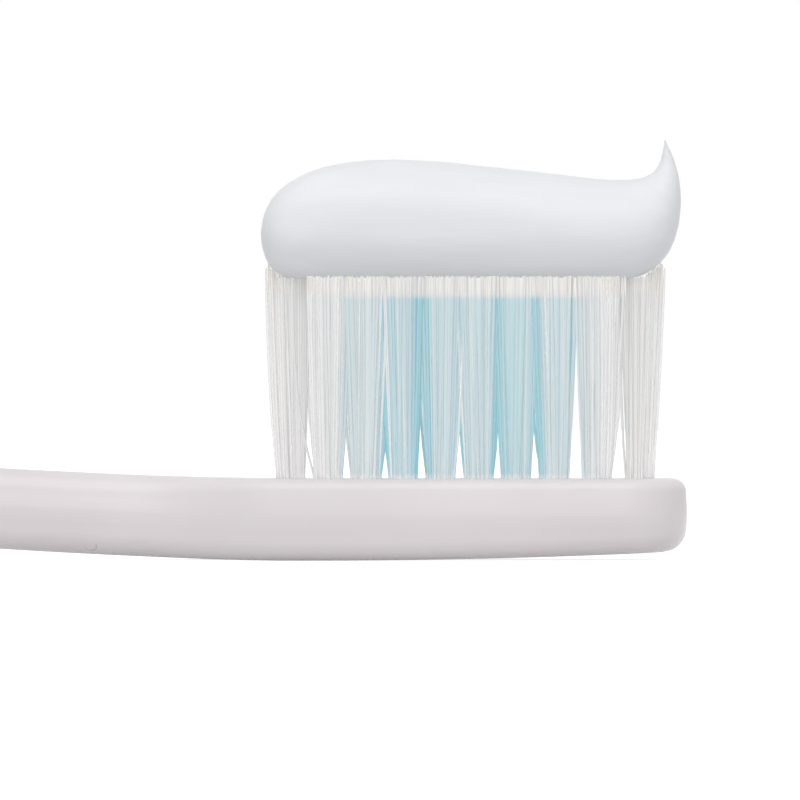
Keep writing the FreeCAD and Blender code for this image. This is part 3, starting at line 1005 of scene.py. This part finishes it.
@dataclass
class Toothpaste:
    """The strip of paste: round on top, flat on the bristle ends, and drawn up to a soft point."""

    foot: float = 15.22
    settle: float = 0.22
    sink: float = 0.1
    sides: int = 56
    steps: int = 7
    stations: tuple[tuple[float, float, float, float, float], ...] = (
        (66.97, 17.74, 66.97, 17.70, 0.02),
        (67.10, 18.55, 67.06, 16.95, 1.05),
        (67.40, 19.30, 67.35, 16.15, 1.90),
        (67.92, 20.00, 67.85, 15.55, 2.55),
        (68.75, 20.62, 68.70, 15.10, 3.05),
        (70.16, 21.25, 70.10, 14.85, 3.40),
        (72.10, 21.62, 72.10, 14.75, 3.52),
        (74.20, 21.72, 74.20, 14.72, 3.55),
        (76.65, 21.61, 76.65, 14.75, 3.52),
        (78.81, 21.39, 78.81, 14.78, 3.46),
        (80.97, 21.16, 81.05, 14.80, 3.40),
        (83.14, 20.91, 83.45, 14.82, 3.34),
        (85.10, 20.68, 85.90, 14.95, 3.24),
        (86.50, 20.62, 87.65, 15.45, 3.02),
        (87.42, 20.70, 88.85, 16.45, 2.62),
        (88.00, 20.92, 89.47, 17.80, 2.10),
        (88.32, 21.18, 89.68, 19.30, 1.52),
        (88.52, 21.52, 89.58, 20.70, 0.98),
        (88.66, 21.95, 89.30, 21.75, 0.52),
        (88.75, 22.40, 89.02, 22.38, 0.22),
        (88.80, 22.76, 88.84, 22.76, 0.02),
    )
    finish: Paste = field(default_factory=Paste)

    def section(self, share: float) -> tuple[float, float, float, float, float]:
        """Runs a smooth curve through the stations.

        Args:
            share: The place along the strip, counted in stations.

        Returns:
            The top and the bottom of the section, seen from the side, and its half width.
        """
        last = len(self.stations) - 1
        first = min(int(share), last - 1)
        t = share - first
        before, start, end, after = (
            self.stations[min(max(i, 0), last)] for i in (first - 1, first, first + 1, first + 2)
        )
        numbers = []
        for a, b, c, d in zip(before, start, end, after, strict=True):
            square, cube = 2 * a - 5 * b + 4 * c - d, 3 * b - a - 3 * c + d
            numbers.append(0.5 * (2 * b + (c - a) * t + square * t * t + cube * t**3))
        top_x, top_z, low_x, low_z, half = numbers
        return top_x, top_z, low_x, low_z, half

    def place(self, ring: int, number: int) -> Vector:
        """Puts a vertex on the paste's surface."""
        top_x, top_z, low_x, low_z, half = self.section(ring / self.steps)
        turn = 2 * math.pi * number / self.sides
        up = 0.5 + 0.5 * math.cos(turn)
        x, z = blend(low_x, top_x, up), blend(low_z, top_z, up)
        depth = z - self.foot
        level = 0.5 * (depth + math.sqrt(depth * depth + self.settle * self.settle))
        z = self.foot + level - self.sink
        return Vector((x, half * math.sin(turn), max(z, self.foot)))

    def build(self) -> bpy.types.Object:
        """Makes the strip.

        Returns:
            The finished strip.
        """
        rings = (len(self.stations) - 1) * self.steps + 1
        piece = tube("toothpaste_strip", self.sides, rings, self.place)
        smooth(piece, 60)
        finish_piece(piece, self.finish.material(), "toothpaste", "toothpaste")
        return piece


@dataclass
class Studio:
    """The white studio: floor, backdrop, soft lamps and the long lens of the photograph."""

    aim: tuple[float, float, float] = (74.5, 0.0, 8.63)
    distance: float = 470.0
    frame_width: float = 43.24
    sensor_width: float = 36.0
    floor_size: float = 4000.0
    floor_glow: float = 0.82
    paper: str = "#e0e0e0"
    world_light: float = 0.55
    lamp_aim: tuple[float, float, float] = (75, 0, 8)

    def build(self) -> None:
        """Makes the whole studio."""
        self.add_floor()
        self.add_world()
        self.add_lamp("lamp_above", (60, -240, 380), 380, 0.62)
        self.add_lamp("lamp_front", (40, -560, 260), 500, 0.7)
        self.add_camera()

    def add_floor(self) -> None:
        """Lays the white floor, which shows white in the picture and keeps the brush's shadow."""
        deselect()
        bpy.ops.mesh.primitive_plane_add(size=self.floor_size * MM)
        floor = bpy.context.object
        floor.name = "studio_floor"
        material, tree = new_material("studio_paper")
        shown = self.seen_directly(tree)
        glow = add_node(
            tree, "ShaderNodeMath", {"operation": "MULTIPLY"}, {0: shown, 1: self.floor_glow}
        )
        paper = add_node(tree, "ShaderNodeBsdfDiffuse", inputs={"Color": linear(self.paper)})
        white = add_node(tree, "ShaderNodeEmission", inputs={"Strength": glow.outputs[0]})
        both = add_node(
            tree, "ShaderNodeAddShader", inputs={0: paper.outputs[0], 1: white.outputs[0]}
        )
        finish_with(tree, both)
        floor.data.materials.append(material)

    def add_world(self) -> None:
        """Lights the scene softly from all round, and shows white behind the brush."""
        world = bpy.data.worlds.new("studio_world")
        bpy.context.scene.world = world
        world.use_nodes = True
        tree = world.node_tree
        tree.nodes.clear()
        shown = self.seen_directly(tree)
        level = add_node(
            tree,
            "ShaderNodeMapRange",
            inputs={"Value": shown, "To Min": self.world_light, "To Max": 1.0},
        )
        light = add_node(
            tree,
            "ShaderNodeBackground",
            inputs={"Color": linear("#ffffff"), "Strength": level.outputs["Result"]},
        )
        add_node(tree, "ShaderNodeOutputWorld", inputs={"Surface": light.outputs[0]})

    def seen_directly(self, tree: bpy.types.NodeTree) -> bpy.types.NodeSocket:
        """Tells what is looked at, mirrored or seen through from what only lights the scene.

        Args:
            tree: The node tree of the floor or the world.

        Returns:
            The value, 1 where it is looked at, mirrored or seen through.
        """
        path = add_node(tree, "ShaderNodeLightPath")
        seen = path.outputs["Is Camera Ray"]
        for ray in ("Is Glossy Ray", "Is Transmission Ray"):
            seen = add_node(
                tree, "ShaderNodeMath", {"operation": "MAXIMUM"}, {0: seen, 1: path.outputs[ray]}
            ).outputs[0]
        return seen

    def add_lamp(
        self, name: str, place: tuple[float, float, float], size: float, watts: float
    ) -> None:
        """Hangs a large soft lamp that points at the head of the brush.

        Args:
            name: The lamp's name.
            place: Where it hangs.
            size: The length of its side.
            watts: Its power.
        """
        data = bpy.data.lights.new(name, "AREA")
        data.shape = "SQUARE"
        data.size = size * MM
        data.energy = watts
        lamp = bpy.data.objects.new(name, data)
        bpy.context.scene.collection.objects.link(lamp)
        lamp.location = Vector(place) * MM
        beam = Vector(self.lamp_aim) - Vector(place)
        lamp.rotation_euler = beam.to_track_quat("-Z", "Y").to_euler()

    def add_camera(self) -> None:
        """Sets up the camera: level, square to the brush, with a long lens."""
        data = bpy.data.cameras.new("photo_camera")
        data.sensor_width = self.sensor_width
        data.lens = self.sensor_width * self.distance / self.frame_width
        data.clip_start = 0.01
        data.clip_end = 20.0
        camera = bpy.data.objects.new("photo_camera", data)
        bpy.context.scene.collection.objects.link(camera)
        x, y, z = self.aim
        camera.location = Vector((x, y - self.distance, z)) * MM
        camera.rotation_euler = (math.pi / 2, 0, 0)
        bpy.context.scene.camera = camera


def main() -> None:
    """Dresses the part and sets up the picture."""
    logging.basicConfig(level=logging.INFO, format="%(name)s: %(message)s")
    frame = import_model()
    bpy.context.scene.view_settings.view_transform = "Standard"
    tufts = TuftField()
    Handle().build([(x, y) for _, _, x, y in tufts.places()])
    tufts.build()
    Toothpaste().build()
    anchors = frame["nodes"]["tuft_anchors"]
    anchors.data.materials.clear()
    anchors.data.materials.append(FlatBrassWire().material())
    Studio().build()


if __name__ == "__main__":
    main()
